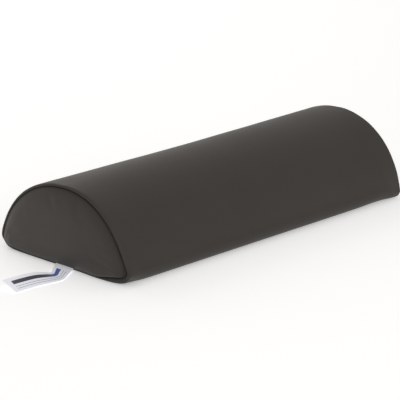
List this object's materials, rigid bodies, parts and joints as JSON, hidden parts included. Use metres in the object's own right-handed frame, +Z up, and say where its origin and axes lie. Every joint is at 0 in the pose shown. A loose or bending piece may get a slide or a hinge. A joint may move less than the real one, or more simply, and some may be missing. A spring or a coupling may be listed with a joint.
{
  "type": "bolster pillow",
  "caption": "Half-round foam bolster in a smooth dark artificial-leather cover, with a flat base, sewn end panels, a rear zip and a satin side label.",
  "frame": {"origin": "centre of the flat base", "axes": "+X along the length, with the label at the -X end; +Y towards the rear, where the zip is; +Z up"},
  "size_m": [0.4908, 0.18, 0.082],
  "materials": {
    "cover_vinyl": "satin",
    "foam": "matte",
    "zip_tape": "matte",
    "zip_coil": "satin",
    "zip_metal": "satin",
    "label_satin": "satin"
  },
  "bodies": {
    "bolster": {"foam_core": "foam", "cover_wrap": "cover_vinyl", "end_panel_left": "cover_vinyl", "end_panel_right": "cover_vinyl", "zip_tape_upper": "zip_tape", "zip_tape_lower": "zip_tape", "zip_coil_upper": "zip_coil", "zip_coil_lower": "zip_coil", "zip_top_stop_upper": "zip_metal", "zip_top_stop_lower": "zip_metal", "zip_bottom_stop": "zip_metal", "side_label": "label_satin"},
    "zip_slider": {"zip_slider_body": "zip_metal"},
    "zip_pull": {"zip_pull_tab": "zip_metal"}
  },
  "joints": [
    {"name": "zip_slider_travel", "type": "slide", "parent": "bolster", "child": "zip_slider", "axis": [1, 0, 0], "range_m": [0, 0.3299]},
    {"name": "zip_pull_swing", "type": "hinge", "parent": "zip_slider", "child": "zip_pull", "pos_m": [-0.16495, 0.08668, 0.02669], "axis": [0, -0.3953, 0.9185], "range_deg": [0, 175]}
  ]
}
